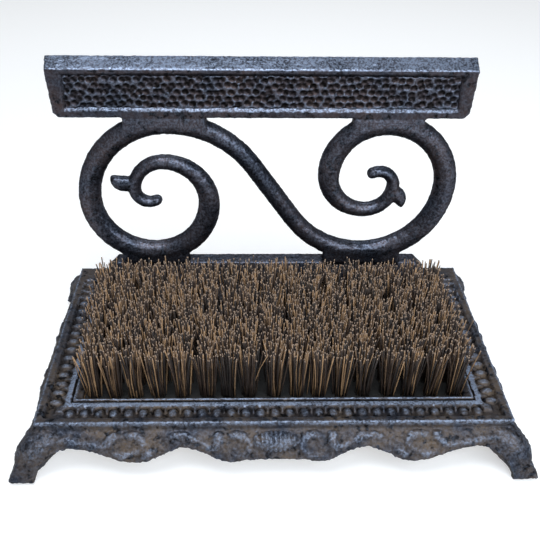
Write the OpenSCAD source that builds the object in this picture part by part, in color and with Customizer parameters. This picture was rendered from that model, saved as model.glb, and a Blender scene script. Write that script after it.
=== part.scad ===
// Cast iron boot scraper: a footed base that frames a brush, and a scrolled scraper bolted on at the back.
// Millimetres, +Z up, front towards -Y. The origin is on the floor under the middle of the base.

/* [Base casting] */
// Length of the top frame over its rim
base_l = 300; // [270:1:340]
// Depth of the top frame over its rim
base_w = 180; // [165:1:215]
// Height of the top frame above the floor
base_h = 36; // [34:0.5:50]
// Thickness of the top frame
plate_t = 6; // [5:0.5:8]
// Thickness of the apron walls
apron_t = 5; // [4:0.5:7]
// Height of the upright lip under the rim
lip_h = 5; // [3:0.5:8]
// How far the cove under the lip cuts back
cove_d = 2; // [0:0.5:3]
// How far the feet stand out past the rim at the front and back
flare = 19; // [10:1:22]
// Curve of the flare at the front and back: 1 is straight, less is bellied
flare_curve = 0.55; // [0.4:0.05:1]
// How far the feet stand out past the rim at the ends
end_flare = 17.5; // [10:0.5:22]
// Curve of the flare at the ends: 1 is straight, less is bellied
end_curve = 0.75; // [0.4:0.05:1]
// Width of a foot on the floor
foot_w = 17; // [12:0.5:20]
// Rounding of each foot's outer corner
toe_r = 6; // [2:0.5:9]
// Bevel under the outer edges of each foot
toe_cut = 3; // [1:0.5:5]
// Thickness of the solid leg inside each corner
leg_t = 10; // [8:0.5:16]

/* [Scalloped apron] */
// Height of the lobes above the floor
lobe_z = 14; // [10:0.5:17]
// Height of the arches above the floor
arch_z = 22; // [19:0.5:25]
// Distance from the end of the rim to the arch beside a foot
arch_inset = 23.5; // [18:0.5:28]
// Distance from the arch beside a foot to the first lobe
outer_pitch = 40.5; // [34:0.5:46]
// Distance from each further lobe or arch to the next
scallop_pitch = 29.5; // [24:0.5:34]
// Distance from the last lobe to the level middle
middle_l = 10.5; // [6:0.5:12]
// Rise of the level middle above the lobes
middle_rise = 1.5; // [0.5:0.5:3]
// Length of the reeded shell in the middle of the front and back
shell_l = 26; // [18:1:34]
// Radius of the shell at its middle
shell_r = 6.5; // [4.5:0.5:7]
// Gap between the shell and the lip over it
shell_gap = 0.6; // [0.2:0.2:3]
// How far the shell stands out of the apron
shell_rise = 3.5; // [2:0.5:5]
// Reeds on the shell
shell_reeds = 9; // [5:2:13]

/* [Bead border] */
// Width of the plain rim
rim_w = 5; // [3:0.5:8]
// Width of the bead channel across the border
channel_w = 11; // [9:0.5:14]
// Gap between a bead and the arch round it
bead_gap = 1.2; // [0.6:0.1:2]
// Width of a bead along the border
bead_w = 6.4; // [5:0.2:8]
// Spacing of the beads
bead_pitch = 9.3; // [9.1:0.1:12]
// Rise of a bead above the floor of its channel
bead_rise = 1.9; // [1:0.1:3]
// Depth of the channel that the beads lie in
channel_d = 1.4; // [0.5:0.1:2.5]
// Width of the flat band inside the beads
band_w = 6; // [3:0.5:10]
// Width of the slope down to the brush opening
slope_w = 4; // [2:0.5:8]
// Depth of the slope down to the brush opening
slope_d = 2.5; // [1:0.5:4]
// Plain stretch behind the last bead on each side
back_plain = 17; // [10:1:24]
// Depth of the plain land behind the brush
land_w = 44; // [40:1:60]

/* [Scraper bar and blade] */
// Length of the mounting bar
bar_l = 250; // [230:1:280]
// Depth of the mounting bar
bar_w = 18; // [16:0.5:20]
// Height of the mounting bar
bar_h = 15; // [13:0.5:20]
// Slant cut off the top of each end of the bar
bar_cut = 8.5; // [2:0.5:12]
// How far the front of the bar slopes back
bar_slope = 5; // [1:0.5:6]
// Gap between the bar and the back edge of the frame
bar_inset = 2; // [0.5:0.5:6]
// Length of the blade along its scraping edge
blade_l = 298.5; // [260:0.5:330]
// How far each end of the blade slopes in towards its foot
blade_draft = 3; // [0:0.5:6]
// How far the blade's middle lies to the right of the scroll's
blade_x = -4.25; // [-8:0.25:8]
// Thickness of the blade
blade_t = 12; // [9:0.5:14]
// Height of the blade's front face
blade_h = 35; // [28:0.5:45]
// How far the blade reaches down over the top of the scroll
blade_sink = 2.5; // [0.5:0.5:4]
// Rise of the bevelled top to the scraping edge
edge_rise = 6; // [3:0.5:10]
// Width of the scraping edge
edge_t = 1.5; // [0.5:0.5:3]
// Rounding of the blade's lower corners
blade_r = 4; // [2:0.5:8]
// Margin at each end of the recessed panel
panel_side = 9; // [6:0.5:14]
// Margin under the recessed panel
panel_foot = 5; // [3:0.5:8]
// Margin over the recessed panel
panel_head = 3; // [2:0.5:6]
// Depth of the recessed panel
panel_d = 1.8; // [0.5:0.1:3]
// Width of the bevel round the recessed panel
panel_bevel = 2; // [0.5:0.5:3]

/* [Scroll] */
// How far the scraper's middle lies to the right of the base's
scroll_x = -2.25; // [-6:0.25:6]
// Length of the scroll over both volutes
scroll_l = 281; // [265:0.5:300]
// Height of the scroll between bar and blade
scroll_h = 121.8; // [115:0.2:140]
// Width of the rod in the outer loops
rod_w = 16.5; // [13:0.5:18]
// Width of the rod on the diagonal
diag_w = 13.5; // [11:0.5:16]
// Depth of the rod, front to back
rod_d = 14; // [10:0.5:16]
// Width of the rod at the far side of the curl
curl_w = 10.5; // [9:0.5:13]
// Width of the rod at the end of the tail
tail_w = 7; // [5:0.5:10]
// Centre line radius of the left shoulder that the diagonal runs into
left_shoulder = 75.5; // [66:0.5:80]
// Centre line radius of the right shoulder that the diagonal runs into
right_shoulder = 65.5; // [60:0.5:70]
// Centre line radius of the first quarter of a volute
quarter_r1 = 58.75; // [55:0.25:62]
// Centre line radius of the left volute's third quarter
left_r3 = 42; // [39:0.25:45]
// Centre line radius of the left volute's fourth quarter
left_r4 = 33.25; // [30:0.25:36]
// Centre line radius of the left volute's fifth quarter
left_r5 = 21.75; // [19:0.25:24]
// Centre line radius of the left volute's eye
left_r6 = 10.75; // [9:0.25:12]
// Centre line radius of the right volute's third quarter
right_r3 = 40.75; // [38:0.25:44]
// Centre line radius of the right volute's fourth quarter
right_r4 = 28.25; // [26:0.25:32]
// Centre line radius of the right volute's fifth quarter
right_r5 = 20.5; // [18:0.25:23]
// Centre line radius of the right volute's eye
right_r6 = 11; // [9:0.25:12.5]
// Angle at which the tail ends
tail_a = 680; // [640:1:700]
// Radius of the round end of the leaf on the curl
leaf_r = 10; // [8:0.5:12]
// Width of the leaf
leaf_w = 11; // [9:0.5:14]
// Thickness of the leaf, front to back
leaf_t = 9.5; // [7:0.5:11]
// Distance of the leaf's middle from the centre line of the rod
leaf_out = 8; // [6:0.5:11]
// How far the leaf lies to the side of its root
leaf_lift = 3.5; // [0:0.5:5]
// Tilt of the left leaf above the level
left_leaf_a = 4; // [0:1:60]
// Tilt of the right leaf below the level
right_leaf_a = 42; // [0:1:60]
// Width of the wide pad that joins a loop to bar or blade
pad_wide = 58; // [40:1:70]
// Width of the narrow pad that joins a loop to bar or blade
pad_narrow = 50; // [36:1:60]

/* [Brush] */
// Thickness of the brush block
block_t = 14; // [12:0.5:16]
// Width of the block's edge under the frame
block_edge = 16; // [14:0.5:17]
// Rise of the bristle tips above the frame
brush_rise = 35; // [20:1:50]
// Thickness of the slices of the block that fill the opening
slice_t = 3; // [2:0.5:5]
// Gap between the slices and the frame
slice_gap = 0.5; // [0.2:0.1:1]
// Tufts in each row
tufts = 17; // [15:1:18]
// Width of a strand across its corners
strand_w = 2.3; // [1.6:0.1:2.6]
// Radius of a tuft at its root
root_r = 1.7; // [1.5:0.1:2]
// Radius of a tuft at its tip
tip_r = 4.2; // [3:0.1:4.8]
// How far the outermost tufts lean out at the tip
lean = 3; // [0:0.5:4]
// How much the strands differ in height
ragged = 1.4; // [0:0.1:2]

/* [Fasteners] */
// Diameter of the bolts that hold the scraper
bolt_d = 8; // [6:1:8]
// Distance of each bolt from the middle
bolt_x = 80; // [50:1:95]
// Depth of thread in the mounting bar
bolt_grip = 10; // [8:0.5:12]
// Diameter of the screws that hold the brush block
screw_d = 5; // [4:0.5:5]
// Outer diameter of the bosses that the brush screws go into
boss_d = 9; // [8:0.5:10]
// Length of thread in a boss
screw_grip = 10; // [8:0.5:11]
// Room round bolts and bosses in their holes
hole_room = 0.5; // [0.3:0.1:1]
// Room between a thread and its tapped hole
thread_room = 0.05; // [0.02:0.01:0.1]

/* [Hidden] */
$fn = 48;
rows = 8;
// Colours of the finished pieces
iron = [0.17, 0.15, 0.15];
beech = [0.62, 0.45, 0.29];
fibre = [0.55, 0.43, 0.29];
zinc = [0.66, 0.67, 0.68];
// Overshoot of a cut past a face
eps = 1;
// Frame
under_z = base_h - plate_t;
border_w = rim_w + channel_w + band_w + slope_w;
bead_l = channel_w - bead_gap;
open_l = base_l - 2 * border_w;
open_w = base_w - border_w - land_w;
open_y = (border_w - land_w) / 2;
span = 2 * (base_l + base_w);
flare_steps = 8;
shell_z = base_h - lip_h - shell_gap - shell_r;
// Reeds of the shell: radius as a part of their spacing, and how far the shell narrows to its ends
reed_fill = 0.6;
shell_taper = 1.7;
// A side of the base: half the frame's width there, how far the feet stand out and the curve of the flare
front_side = [base_w / 2, flare, flare_curve];
end_side = [base_l / 2, end_flare, end_curve];
crest_steps = 6;
// Mounting bar, blade and scroll
bar_y = base_w / 2 - bar_inset - bar_w / 2;
bar_top = base_h + bar_h;
scroll_z = bar_top + scroll_h / 2;
blade_z = bar_top + scroll_h - blade_sink;
blade_mid = scroll_x + blade_x;
blade_top = blade_z + blade_h + edge_rise;
quarter_r2 = scroll_h - rod_w - quarter_r1;
left_loops = [left_shoulder, quarter_r1, quarter_r2, left_r3, left_r4, left_r5, left_r6];
right_loops = [right_shoulder, quarter_r1, quarter_r2, right_r3, right_r4, right_r5, right_r6];
// Angle on both shoulders where the straight diagonal between them leaves them
shoulder_gap = -loop_start(left_loops) - loop_start(right_loops);
leave_a = atan2(shoulder_gap[1], shoulder_gap[0])
    + acos((left_shoulder + right_shoulder) / norm(shoulder_gap));
swell_a = 120;
taper_a = 350;
curl_a = 450;
cap_a = 20;
leaf_a = 540;
pad_h = 0.8 * rod_w;
pad_inset = 2;
rod_steps = 68;
rod_sides = 10;
// Brush
slice_w = (open_w - 2 * slice_gap) / rows;
slice_l = open_l - 2 * slice_gap;
tuft_pitch = slice_l / tufts;
strands = 3;
strand_sink = 1;
golden_a = 137.5;
// Fasteners, with the head and washer sizes of common bolts
block_z = under_z - block_t;
boss_x = open_l / 2 + block_edge / 2;
boss_ys = [open_y - open_w / 2 - block_edge / 2, open_y + open_w / 2 + block_edge / 2];
boss_short = 0.5;
bolt_head_d = 1.87 * bolt_d;
bolt_head_h = 0.66 * bolt_d;
washer_d = 2 * bolt_d;
washer_t = 0.2 * bolt_d;
spring_d = 1.75 * bolt_d;
spring_t = 0.25 * bolt_d;
spring_slit = 1.2;
screw_head_d = 2 * screw_d;
screw_head_h = 0.66 * screw_d;
wide_washer_d = 3 * screw_d;
wide_washer_t = 0.24 * screw_d;

// Distance of a flared side from the middle at a height
function flared(side, z) =
    side[0] - cove_d + (side[1] + cove_d) * pow(max(0, 1 - z / (base_h - lip_h)), side[2]);

// Closed outline that is the same on both sides of the middle
function mirrored(points) =
    concat(points, [for (i = [len(points) - 1:-1:0]) [-points[i][0], points[i][1]]]);

function outer_outline(side) = mirrored(concat(
    [[side[0], base_h], [side[0], base_h - lip_h]],
    [for (i = [0:flare_steps])
        let (z = toe_cut + (base_h - lip_h - toe_cut) * (1 - pow(i / flare_steps, 2)))
        [flared(side, z), z]],
    [[flared(side, toe_cut) - toe_cut, 0]]
));

function inner_outline(side) = mirrored(concat(
    [for (i = [0:flare_steps])
        let (z = under_z * (1 - pow(i / flare_steps, 2)))
        [flared(side, z) - apron_t, z]],
    [[flared(side, 0) - apron_t, -eps]]
));

// Arches and lobes of the apron's lower edge, from the arch beside a foot to the level middle
function scallop_crests(side) =
    let (
        arch_u = side[0] - arch_inset,
        lobe_u = arch_u - outer_pitch,
        waves = max(0, floor((lobe_u - middle_l) / (2 * scallop_pitch)))
    )
    concat(
        [[arch_u, arch_z]],
        [for (i = [0:2 * waves]) [lobe_u - i * scallop_pitch, i % 2 == 0 ? lobe_z : arch_z]],
        [[lobe_u - 2 * waves * scallop_pitch - middle_l, lobe_z + middle_rise]]
    );

// Lower edge of the apron: a quarter ellipse up the leg, then a smooth wave through the arches and lobes
function scallop_side(side) =
    let (
        leg_u = side[0] + side[1] - foot_w,
        crests = scallop_crests(side),
        arch_u = crests[0][0]
    )
    concat(
        [[leg_u, -eps]],
        [for (a = [0:15:75]) [arch_u + (leg_u - arch_u) * cos(a), arch_z * sin(a)]],
        [for (i = [0:len(crests) - 2], j = [0:crest_steps - 1])
            let (t = j / crest_steps, step = crests[i + 1] - crests[i])
            crests[i] + [step[0] * t, step[1] * (1 - cos(180 * t)) / 2]],
        [crests[len(crests) - 1]]
    );

// Profile that follows the base's four sides and meets in mitres at the corners
module mitred(outline_x, outline_y) {
    intersection() {
        rotate([90, 0, 0]) linear_extrude(span, center = true) polygon(outline_x);
        rotate([90, 0, 90]) linear_extrude(span, center = true) polygon(outline_y);
    }
}

module rounded_rect(size, r) {
    square([size[0], size[1] - 2 * r], center = true);
    square([size[0] - 2 * r, size[1]], center = true);
    for (x = [-1, 1], y = [-1, 1]) {
        translate([x * (size[0] / 2 - r), y * (size[1] / 2 - r)]) circle(r);
    }
}

module at_bolts() {
    for (x = [-bolt_x, bolt_x]) translate([x, bar_y, 0]) children();
}

module at_bosses() {
    for (x = [-boss_x, boss_x], y = boss_ys) translate([x, y, 0]) children();
}

// Solid of the base before it is hollowed
module base_body() {
    intersection() {
        mitred(outer_outline(end_side), outer_outline(front_side));
        linear_extrude(span, center = true)
            rounded_rect([base_l + 2 * end_flare, base_w + 2 * flare], toe_r);
    }
}

// Space under the frame, with a leg left standing in each corner
module base_hollow() {
    difference() {
        mitred(inner_outline(end_side), inner_outline(front_side));
        for (x = [-1, 1], y = [-1, 1]) {
            translate([x * (base_l / 2 - leg_t + span / 2), y * (base_w / 2 - leg_t + span / 2), 0])
                cube(span, center = true);
        }
    }
}

module scallop_cuts() {
    rotate([90, 0, 0]) linear_extrude(span, center = true) polygon(mirrored(scallop_side(end_side)));
    rotate([90, 0, 90]) linear_extrude(span, center = true) polygon(mirrored(scallop_side(front_side)));
}

// Opening for the brush, with a slope down to it all round
module brush_opening() {
    slope_x = [
        [open_l / 2 + slope_w + eps * slope_w / slope_d, base_h + eps],
        [open_l / 2, base_h - slope_d],
        [open_l / 2, under_z - eps]
    ];
    slope_y = [
        [open_w / 2 + slope_w + eps * slope_w / slope_d, base_h + eps],
        [open_w / 2, base_h - slope_d],
        [open_w / 2, under_z - eps]
    ];
    translate([0, open_y, 0]) mitred(mirrored(slope_x), mirrored(slope_y));
}

// Lays its children along the front and up both sides of the border, one at each bead, inner end towards +Y
module at_beads() {
    front_l = base_l - 2 * (rim_w + channel_w);
    side_l = base_w - rim_w - channel_w - back_plain;
    front_n = max(1, round(front_l / bead_pitch));
    side_n = max(1, round(side_l / bead_pitch));
    front_y = rim_w - base_w / 2;
    side_x = base_l / 2 - rim_w;
    for (i = [0:front_n - 1]) {
        translate([((i + 0.5) / front_n - 0.5) * front_l, front_y]) children();
    }
    for (i = [0:side_n - 1], x = [-1, 1]) {
        translate([x * side_x, front_y + channel_w + (i + 0.5) / side_n * side_l]) rotate(90 * x) children();
    }
}

// Channel for the beads: a groove along the rim, with an arch round each bead
module bead_channel() {
    arch_r = bead_w / 2 + bead_gap;
    groove_w = channel_w - arch_r;
    length = base_l - 2 * rim_w;
    depth = base_w - rim_w - back_plain;
    translate([0, 0, base_h - channel_d]) linear_extrude(channel_d + eps) {
        difference() {
            translate([-length / 2, rim_w - base_w / 2]) square([length, depth]);
            translate([groove_w - length / 2, rim_w + groove_w - base_w / 2])
                square([length - 2 * groove_w, depth]);
        }
        at_beads() {
            translate([0, groove_w]) circle(arch_r);
            translate([-arch_r, 0]) square([2 * arch_r, groove_w]);
        }
    }
}

// One bead: a tongue with a round inner end, its outer end at the origin, pointing towards +Y
module bead() {
    bead_r = (bead_w * bead_w / 4 + bead_rise * bead_rise) / (2 * bead_rise);
    translate([0, 0, bead_rise - bead_r]) rotate([-90, 0, 0]) rotate_extrude() intersection() {
        union() {
            square([bead_r, bead_l - bead_w / 2]);
            translate([0, bead_l - bead_w / 2]) circle(bead_r);
        }
        square([bead_r, bead_l]);
    }
}

module beads() {
    floor_z = base_h - channel_d;
    intersection() {
        translate([0, 0, floor_z]) at_beads() bead();
        translate([0, 0, floor_z + span / 2 - channel_d]) cube(span, center = true);
    }
}

// Reeded shell about the X axis, its reeds turned as rings
module shell() {
    reed_w = shell_l / shell_reeds;
    reed_r = reed_w * reed_fill;
    crests = [for (i = [0:shell_reeds - 1])
        let (x = (i - (shell_reeds - 1) / 2) * reed_w)
        [(shell_r - reed_r) * sqrt(1 - pow(shell_taper * x / shell_l, 2)), x]];
    rotate([0, 90, 0]) rotate_extrude() {
        polygon(concat([[0, crests[0][1]]], crests, [[0, -crests[0][1]]]));
        for (crest = crests) translate(crest) circle(reed_r);
    }
}

// Base: frame, bead border, scalloped apron, legs and bosses in one casting
module base_casting() {
    shell_y = flared(front_side, shell_z) + shell_rise - shell_r;
    color(iron) {
        difference() {
            union() {
                difference() {
                    union() {
                        base_body();
                        for (y = [-1, 1]) translate([0, y * shell_y, shell_z]) shell();
                    }
                    base_hollow();
                    scallop_cuts();
                    brush_opening();
                    bead_channel();
                }
                at_bosses() translate([0, 0, block_z + boss_short])
                    cylinder(d = boss_d, h = block_t - boss_short + eps);
                beads();
            }
            at_bolts() translate([0, 0, under_z - eps])
                cylinder(d = bolt_d + 2 * hole_room, h = plate_t + 2 * eps);
            at_bosses() translate([0, 0, block_z])
                cylinder(d = screw_d + 2 * thread_room, h = boss_short + screw_grip);
        }
    }
}

// Centre line of a volute with the given radii, in the plane of the scroll and measured from its middle
function loop_start(loops) = [quarter_r1 + rod_w / 2 - scroll_l / 2, (scroll_h - rod_w) / 2 - loops[0]];
function loop_centre(loops, k) = k == 0 ? loop_start(loops) :
    loop_centre(loops, k - 1) + (loops[k - 1] - loops[k]) * [cos(90 * k), sin(90 * k)];
function loop_at(a) = min(len(left_loops) - 1, max(0, ceil(a / 90) - 1));
function rod_point(loops, a) =
    loop_centre(loops, loop_at(a)) + loops[loop_at(a)] * [cos(a), sin(a)];

// Width of the rod: slim on the diagonal, full in the outer loops, then tapering to the tail's round end
function rod_cap(a) = a < tail_a - cap_a ? 1 : sqrt(1.05 - pow((a - tail_a + cap_a) / cap_a, 2));
function rod_width(a) = rod_cap(a) * (
    a < swell_a ? diag_w + (rod_w - diag_w) * (a - leave_a) / (swell_a - leave_a) :
    a < taper_a ? rod_w :
    a < curl_a ? rod_w + (curl_w - rod_w) * (a - taper_a) / (curl_a - taper_a) :
    curl_w + (tail_w - curl_w) * (a - curl_a) / (tail_a - curl_a)
);
function rod_depth(a) = rod_d * (rod_width(a) / rod_w + rod_cap(a)) / 2;
function rod_ring(p, a) = [for (j = [0:rod_sides - 1])
    let (t = 360 * (j + 0.5) / rod_sides, out = rod_width(a) / 2 * cos(t))
    [p[0] + out * cos(a), rod_depth(a) / 2 * sin(t), p[1] + out * sin(a)]];

// Rod of both volutes: one skin swept along the centre line from tail to tail
module scroll_rod() {
    turns = [for (i = [0:rod_steps]) leave_a + (tail_a - leave_a) * i / rod_steps];
    rings = concat(
        [for (i = [rod_steps:-1:0]) rod_ring(-rod_point(right_loops, turns[i]), turns[i])],
        [for (a = turns) rod_ring(rod_point(left_loops, a), a)]
    );
    last = len(rings) - 1;
    points = [for (ring = rings, p = ring) p];
    skin = [for (i = [0:last - 1], j = [0:rod_sides - 1])
        let (a = i * rod_sides + j, b = i * rod_sides + (j + 1) % rod_sides)
        each [[a, a + rod_sides, b], [b, a + rod_sides, b + rod_sides]]];
    ends = [
        [for (j = [0:rod_sides - 1]) j],
        [for (j = [rod_sides - 1:-1:0]) last * rod_sides + j]
    ];
    polyhedron(points, concat(skin, ends));
}

// Disc with a round rim
module disc(r, t) {
    rotate_extrude() intersection() {
        union() {
            translate([r - t / 2, 0]) circle(d = t);
            square([2 * r - t, t], center = true);
        }
        translate([0, -t / 2]) square([r, t]);
    }
}

// Leaf on the outside of the curl: round at its end and belly, straight along its other edge
module leaf(loops, tilt) {
    root = rod_point(loops, leaf_a);
    translate([root[0], 0, root[1]]) rotate([0, tilt - 90, 0]) translate([leaf_lift, 0, 0]) intersection() {
        cylinder(d = leaf_w, h = leaf_out + leaf_r);
        translate([leaf_r - leaf_w / 2, 0, leaf_out]) rotate([90, 0, 0]) disc(leaf_r, leaf_t);
    }
}

// Flat pad between a loop and the bar or blade that it meets
module pad(k, width, top) {
    size = [width, rod_d - pad_inset, pad_h];
    translate([loop_centre(left_loops, k)[0], 0, (top ? 1 : -1) * (scroll_h - pad_h) / 2])
        cube(size, center = true);
}

module volute_trim(loops, leaf_tilt) {
    leaf(loops, leaf_tilt);
    pad(1, pad_wide, true);
    pad(2, pad_narrow, false);
}

module scroll() {
    translate([scroll_x, bar_y, scroll_z]) {
        scroll_rod();
        volute_trim(left_loops, left_leaf_a);
        rotate([0, 180, 0]) volute_trim(right_loops, right_leaf_a);
    }
}

// Bar with slanted ends and a front that slopes back
module mounting_bar() {
    sides = [
        [bar_y - bar_w / 2, base_h],
        [bar_y + bar_w / 2, base_h],
        [bar_y + bar_w / 2, bar_top],
        [bar_y - bar_w / 2 + bar_slope, bar_top]
    ];
    ends = [[bar_l / 2, base_h], [bar_l / 2, bar_top - bar_cut], [bar_l / 2 - bar_cut, bar_top]];
    translate([scroll_x, 0, 0]) intersection() {
        rotate([90, 0, 90]) linear_extrude(bar_l, center = true) polygon(sides);
        rotate([90, 0, 0]) linear_extrude(span, center = true) polygon(mirrored(ends));
    }
}

// Blade with a bevelled top that rises to the scraping edge at the back
module blade() {
    front = bar_y - blade_t / 2;
    back = bar_y + blade_t / 2;
    sides = [
        [front, blade_z],
        [back, blade_z],
        [back, blade_top],
        [back - edge_t, blade_top],
        [front, blade_z + blade_h]
    ];
    low_half = blade_l / 2 - blade_draft;
    ends = [
        [low_half - blade_r, blade_z],
        [low_half, blade_z + blade_r],
        [blade_l / 2, blade_top]
    ];
    translate([blade_mid, 0, 0]) intersection() {
        rotate([90, 0, 90]) linear_extrude(blade_l, center = true) polygon(sides);
        rotate([90, 0, 0]) linear_extrude(span, center = true) polygon(mirrored(ends));
    }
}

// Recess in the front of the blade, its sides bevelled
module blade_panel() {
    front = bar_y - blade_t / 2;
    half = blade_l / 2 - blade_draft / 2 - panel_side;
    low = blade_z + panel_foot;
    high = blade_z + blade_h - panel_head;
    ratio = panel_bevel / panel_d;
    plan = [[half + eps * ratio, front - eps], [half - panel_bevel, front + panel_d]];
    sides = [
        [front - eps, low - eps * ratio],
        [front + panel_d, low + panel_bevel],
        [front + panel_d, high - panel_bevel],
        [front - eps, high + eps * ratio]
    ];
    translate([blade_mid, 0, 0]) intersection() {
        linear_extrude(span) polygon(mirrored(plan));
        rotate([90, 0, 90]) linear_extrude(span, center = true) polygon(sides);
    }
}

// Scraper: bar, scroll and blade in one casting
module scraper_casting() {
    color(iron) {
        difference() {
            union() {
                mounting_bar();
                scroll();
                blade();
            }
            blade_panel();
            at_bolts() translate([0, 0, base_h - eps])
                cylinder(d = bolt_d + 2 * thread_room, h = bolt_grip + 2 * eps);
        }
    }
}

// Board that carries the tufts, with a hole round each boss
module brush_block() {
    color(beech) {
        difference() {
            translate([-open_l / 2 - block_edge, open_y - open_w / 2 - block_edge, block_z])
                cube([open_l + 2 * block_edge, open_w + 2 * block_edge, block_t]);
            at_bosses() translate([0, 0, block_z - eps])
                cylinder(d = boss_d + 2 * hole_room, h = block_t + 2 * eps);
        }
    }
}

// Straight strand from its root to its tip
module strand(root, tip) {
    along = tip - root;
    reach = norm(along);
    translate(root) rotate([0, acos(along[2] / reach), atan2(along[1], along[0])])
        cylinder(d = strand_w, h = reach, $fn = 4);
}

// One row of tufts on its slice of the block, counted from the front
module bristle_row(row) {
    y = open_y + (row - (rows + 1) / 2) * slice_w;
    top_z = under_z + slice_t;
    color(fibre) {
        translate([-slice_l / 2, y - slice_w / 2, under_z]) cube([slice_l, slice_w, slice_t]);
        for (i = [0:tufts - 1], k = [0:strands - 1]) {
            x = (i - (tufts - 1) / 2) * tuft_pitch;
            a = golden_a * (row * tufts + i) + 360 * k / strands;
            out = [cos(a), sin(a), 0];
            tilt = lean * [2 * x / slice_l, 2 * (y - open_y) / open_w, 0];
            tip_z = base_h + brush_rise - ragged * pow(sin(golden_a * (i + row + k * tufts)), 2);
            strand([x, y, top_z - strand_sink] + root_r * out, [x, y, tip_z] + tip_r * out + tilt);
        }
    }
}

// Hexagon bolts that hold the scraper, heads below
module scraper_bolts() {
    head_z = under_z - washer_t - spring_t;
    color(zinc) at_bolts() {
        translate([0, 0, head_z - bolt_head_h]) cylinder(d = bolt_head_d, h = bolt_head_h, $fn = 6);
        translate([0, 0, head_z - eps]) cylinder(d = bolt_d, h = base_h + bolt_grip - head_z + eps);
    }
}

// Split ring under each bolt head
module spring_washers() {
    color(zinc) at_bolts() translate([0, 0, under_z - washer_t - spring_t]) {
        difference() {
            cylinder(d = spring_d, h = spring_t);
            translate([0, 0, -eps]) cylinder(d = bolt_d + 2 * hole_room, h = spring_t + 2 * eps);
            translate([0, -spring_slit / 2, -eps]) cube([spring_d, spring_slit, spring_t + 2 * eps]);
        }
    }
}

module flat_washers() {
    color(zinc) at_bolts() translate([0, 0, under_z - washer_t]) {
        difference() {
            cylinder(d = washer_d, h = washer_t);
            translate([0, 0, -eps]) cylinder(d = bolt_d + 2 * hole_room, h = washer_t + 2 * eps);
        }
    }
}

// Round-headed screws that hold the block, heads below
module brush_screws() {
    head_z = block_z - wide_washer_t;
    head_r = screw_head_d / 2;
    crown_r = (head_r * head_r + screw_head_h * screw_head_h) / (2 * screw_head_h);
    color(zinc) at_bosses() {
        translate([0, 0, head_z]) rotate([180, 0, 0]) rotate_extrude() intersection() {
            translate([0, screw_head_h - crown_r]) circle(crown_r);
            square([head_r, screw_head_h]);
        }
        translate([0, 0, head_z - eps]) cylinder(d = screw_d, h = wide_washer_t + screw_grip + eps);
    }
}

module brush_washers() {
    color(zinc) at_bosses() translate([0, 0, block_z - wide_washer_t]) {
        difference() {
            cylinder(d = wide_washer_d, h = wide_washer_t);
            translate([0, 0, -eps]) cylinder(d = screw_d + 2 * hole_room, h = wide_washer_t + 2 * eps);
        }
    }
}

base_casting();
scraper_casting();
brush_block();
bristle_row(1);  // bristle_row_1
bristle_row(2);  // bristle_row_2
bristle_row(3);  // bristle_row_3
bristle_row(4);  // bristle_row_4
bristle_row(5);  // bristle_row_5
bristle_row(6);  // bristle_row_6
bristle_row(7);  // bristle_row_7
bristle_row(8);  // bristle_row_8
scraper_bolts();
spring_washers();
flat_washers();
brush_screws();
brush_washers();
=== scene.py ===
import math
import random

import bmesh
import bpy
from bpy.types import NodeSocket, Operator, Panel, PropertyGroup
from mathutils import Matrix, Vector, noise


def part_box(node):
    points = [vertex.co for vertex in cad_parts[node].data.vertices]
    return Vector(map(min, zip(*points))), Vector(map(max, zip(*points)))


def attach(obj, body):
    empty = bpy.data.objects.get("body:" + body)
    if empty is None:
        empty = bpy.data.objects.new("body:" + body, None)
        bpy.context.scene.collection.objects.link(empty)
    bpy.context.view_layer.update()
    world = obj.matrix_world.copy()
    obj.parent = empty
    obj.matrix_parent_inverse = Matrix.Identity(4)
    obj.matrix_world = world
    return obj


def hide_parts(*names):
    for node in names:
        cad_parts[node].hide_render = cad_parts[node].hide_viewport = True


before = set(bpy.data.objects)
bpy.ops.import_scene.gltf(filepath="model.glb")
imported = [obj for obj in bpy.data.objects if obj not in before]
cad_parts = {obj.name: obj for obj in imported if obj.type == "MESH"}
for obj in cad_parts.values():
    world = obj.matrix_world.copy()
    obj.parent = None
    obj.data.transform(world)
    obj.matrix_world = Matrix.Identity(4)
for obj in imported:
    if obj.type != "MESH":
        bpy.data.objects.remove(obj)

bl_info = {
    "name": "Boot Scraper",
    "version": (1, 0, 0),
    "blender": (4, 5, 0),
    "location": "View3D > Sidebar > Boot Scraper",
    "description": "Builds the castings, brush and finishes of a cast iron boot scraper round its solids",
    "category": "Object",
}

MM = 0.001
GOLDEN = math.radians(137.5)
BRISTLE_ROWS = sorted(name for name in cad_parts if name.startswith("bristle_row_"))
FASTENERS = ("scraper_bolts", "spring_washers", "flat_washers", "brush_screws", "brush_washers")
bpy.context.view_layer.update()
SCRAPER_LOW, SCRAPER_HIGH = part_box("scraper_casting")
BLOCK_LOW, BLOCK_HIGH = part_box("brush_block")

# The solid's bead channel lies within this depth of its top
CHANNEL_REACH = 2 * MM
# Least upward part of a normal that counts as facing up
FACING_UP = 0.5

# How far each part of the castings is lightened, by wear and by painted highlights and sheen: 1 is bare iron,
# 0 is black and less is painted shade
# Lip's top edge: partly wear, partly a painted highlight
LIP_WEAR_AND_HIGHLIGHT = 0.7
# Bead tops: painted highlight
BEAD_HIGHLIGHT = 0.6
# Bead channel: slight painted shade
CHANNEL_SHADE = -0.05
# Flat band: painted sheen
BAND_SHEEN = 1.0
# Scored line: painted shade
SCORE_SHADE = -0.8
# Fine ridge: painted highlight
RIDGE_HIGHLIGHT = 0.6
# Apron relief: painted sheen, and a painted highlight on its upward-facing sides
RELIEF_SHEEN = 0.03
RELIEF_TOP_HIGHLIGHT = 0.27
# Shells: painted sheen
SHELL_SHEEN = 0.45
# Slopes to the scraping edge: partly wear, partly a painted highlight
BEVEL_WEAR_AND_HIGHLIGHT = 0.8
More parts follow.
